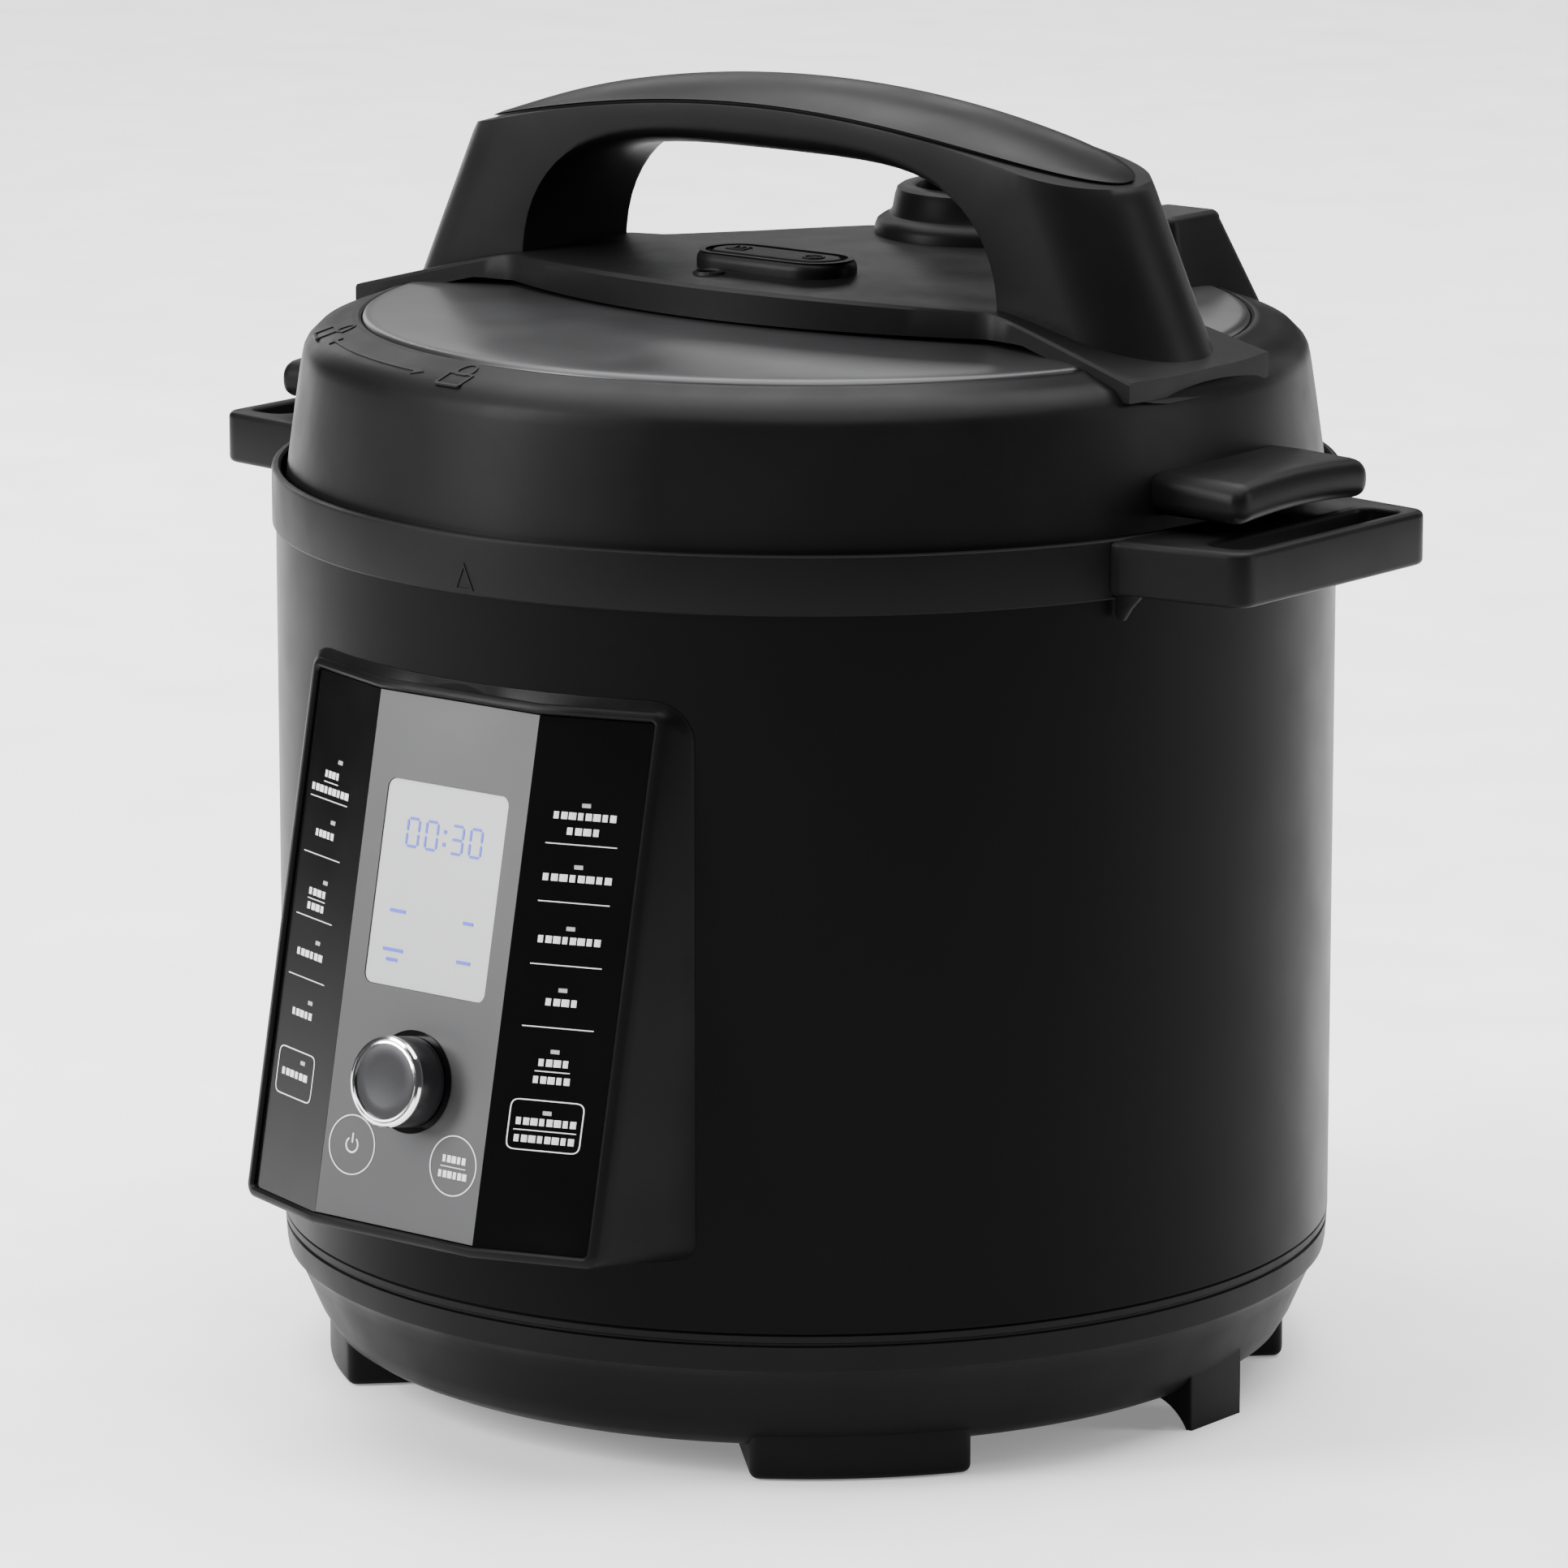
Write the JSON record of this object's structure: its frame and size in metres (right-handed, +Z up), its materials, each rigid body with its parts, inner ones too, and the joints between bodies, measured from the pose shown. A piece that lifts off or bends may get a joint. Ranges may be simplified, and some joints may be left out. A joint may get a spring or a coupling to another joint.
{
  "type": "electric pressure cooker",
  "caption": "Round black electric pressure cooker with a twist-off lid, an arched lid handle, a sloping front control panel with display and knob, and a removable inner pot.",
  "frame": {"origin": "on the surface that the feet stand on, on the axis of the pot", "axes": "+Z up along the pot axis, -Y towards the control panel, X through the two carrying handles"},
  "size_m": [0.3306, 0.3304, 0.3316],
  "materials": {
    "base_plastic": "fine-grained matte black",
    "foot_rubber": "matte black rubber",
    "steel": "brushed",
    "shell_paint": "satin black powder coat",
    "collar_plastic": "fine-grained matte black",
    "lid_plastic": "fine-grained matte black",
    "grip_plastic": "smooth satin black",
    "dome_paint": "satin black coating",
    "liner_metal": "drawn, satin",
    "pot_steel": "circular brushed",
    "cast_plate": "cast, turned top",
    "silicone": "translucent grey silicone",
    "panel_grey": "satin graphite film",
    "panel_black": "gloss black",
    "display": "pale grey lens",
    "board": "green circuit board",
    "part_plastic": "plain moulded",
    "chrome": "bright",
    "knob_black": "satin black",
    "lamp": "clear grey light pipe",
    "cup_plastic": "smoked clear"
  },
  "bodies": {
    "cooker": {"base_housing": "base_plastic", "foot_pads": "foot_rubber", "base_screws": "steel", "liner_spacers": "steel", "inlet_socket": "base_plastic", "inlet_pins": "steel", "body_shell": "shell_paint", "collar": "collar_plastic", "outer_pot": "liner_metal", "heating_plate": "cast_plate", "heater_element": "steel", "sensor_spring": "steel", "sensor_holder": "part_plastic", "thermal_fuse": "part_plastic", "pressure_switch": "part_plastic", "power_board": "board", "panel_housing": "base_plastic", "panel_center": "panel_grey", "panel_sides": "panel_black", "indicator_lights": "lamp", "display_window": "display", "display_module": "part_plastic", "control_board": "board", "encoder": "steel", "knob_bezel": "panel_black", "collector_rail": "base_plastic"},
    "lid_ring": {"sealing_ring": "silicone", "ring_rack": "steel"},
    "lid": {"lid_cover": "lid_plastic", "lid_dome": "dome_paint", "locking_flange": "steel", "lid_plate": "pot_steel", "handle_body": "lid_plastic", "handle_grip": "grip_plastic", "handle_screws": "steel", "rocker_bezel": "lid_plastic", "rocker_pin": "steel", "valve_collar": "lid_plastic", "steam_pipe": "steel", "pipe_nut": "steel", "block_shield": "steel", "rear_housing": "lid_plastic"},
    "rocker": {"rocker_button": "lid_plastic"},
    "weight": {"valve_weight": "lid_plastic"},
    "float": {"float_pin": "steel", "float_gasket": "silicone"},
    "pot": {"inner_pot": "pot_steel"},
    "knob": {"knob": "knob_black", "knob_ring": "chrome"},
    "sensor": {"sensor_cap": "liner_metal"},
    "collector": {"collector_cup": "cup_plastic"}
  },
  "joints": [
    {"name": "lid_lift", "type": "slide", "parent": "cooker", "child": "lid_ring", "axis": [0, 0, 1], "range_m": [0, 0.36]},
    {"name": "lid_turn", "type": "hinge", "parent": "lid_ring", "child": "lid", "pos_m": [0, 0, 0.24], "axis": [0, 0, 1], "range_deg": [0, 38]},
    {"name": "pot_lift", "type": "slide", "parent": "cooker", "child": "pot", "axis": [0, 0, 1], "range_m": [0, 0.165]},
    {"name": "knob_turn", "type": "hinge", "parent": "cooker", "child": "knob", "pos_m": [0, -0.15428, 0.10079], "axis": [0, -0.9787, 0.2052], "continuous": true},
    {"name": "rocker_tilt", "type": "hinge", "parent": "lid", "child": "rocker", "pos_m": [0, -0.012, 0.2845], "axis": [0, -1, 0], "range_deg": [0, 7]},
    {"name": "valve_lift", "type": "slide", "parent": "lid", "child": "weight", "axis": [0, 0, 1], "range_m": [0, 0.003]},
    {"name": "float_rise", "type": "slide", "parent": "lid", "child": "float", "axis": [0, 0, 1], "range_m": [0, 0.004]},
    {"name": "sensor_press", "type": "slide", "parent": "cooker", "child": "sensor", "axis": [0, 0, 1], "range_m": [-0.002, 0], "stiffness_N_per_m": 300, "springref_m": 0.004, "deforming": ["sensor_spring"]},
    {"name": "cup_slide", "type": "slide", "parent": "cooker", "child": "collector", "axis": [0, 1, 0], "range_m": [0, 0.03]}
  ],
  "couplings": [
    {"joint": "pot_lift", "follows": "lid_lift", "ratio": 0.45},
    {"joint": "valve_lift", "follows": "rocker_tilt", "m_per_rad": 0.0245}
  ]
}
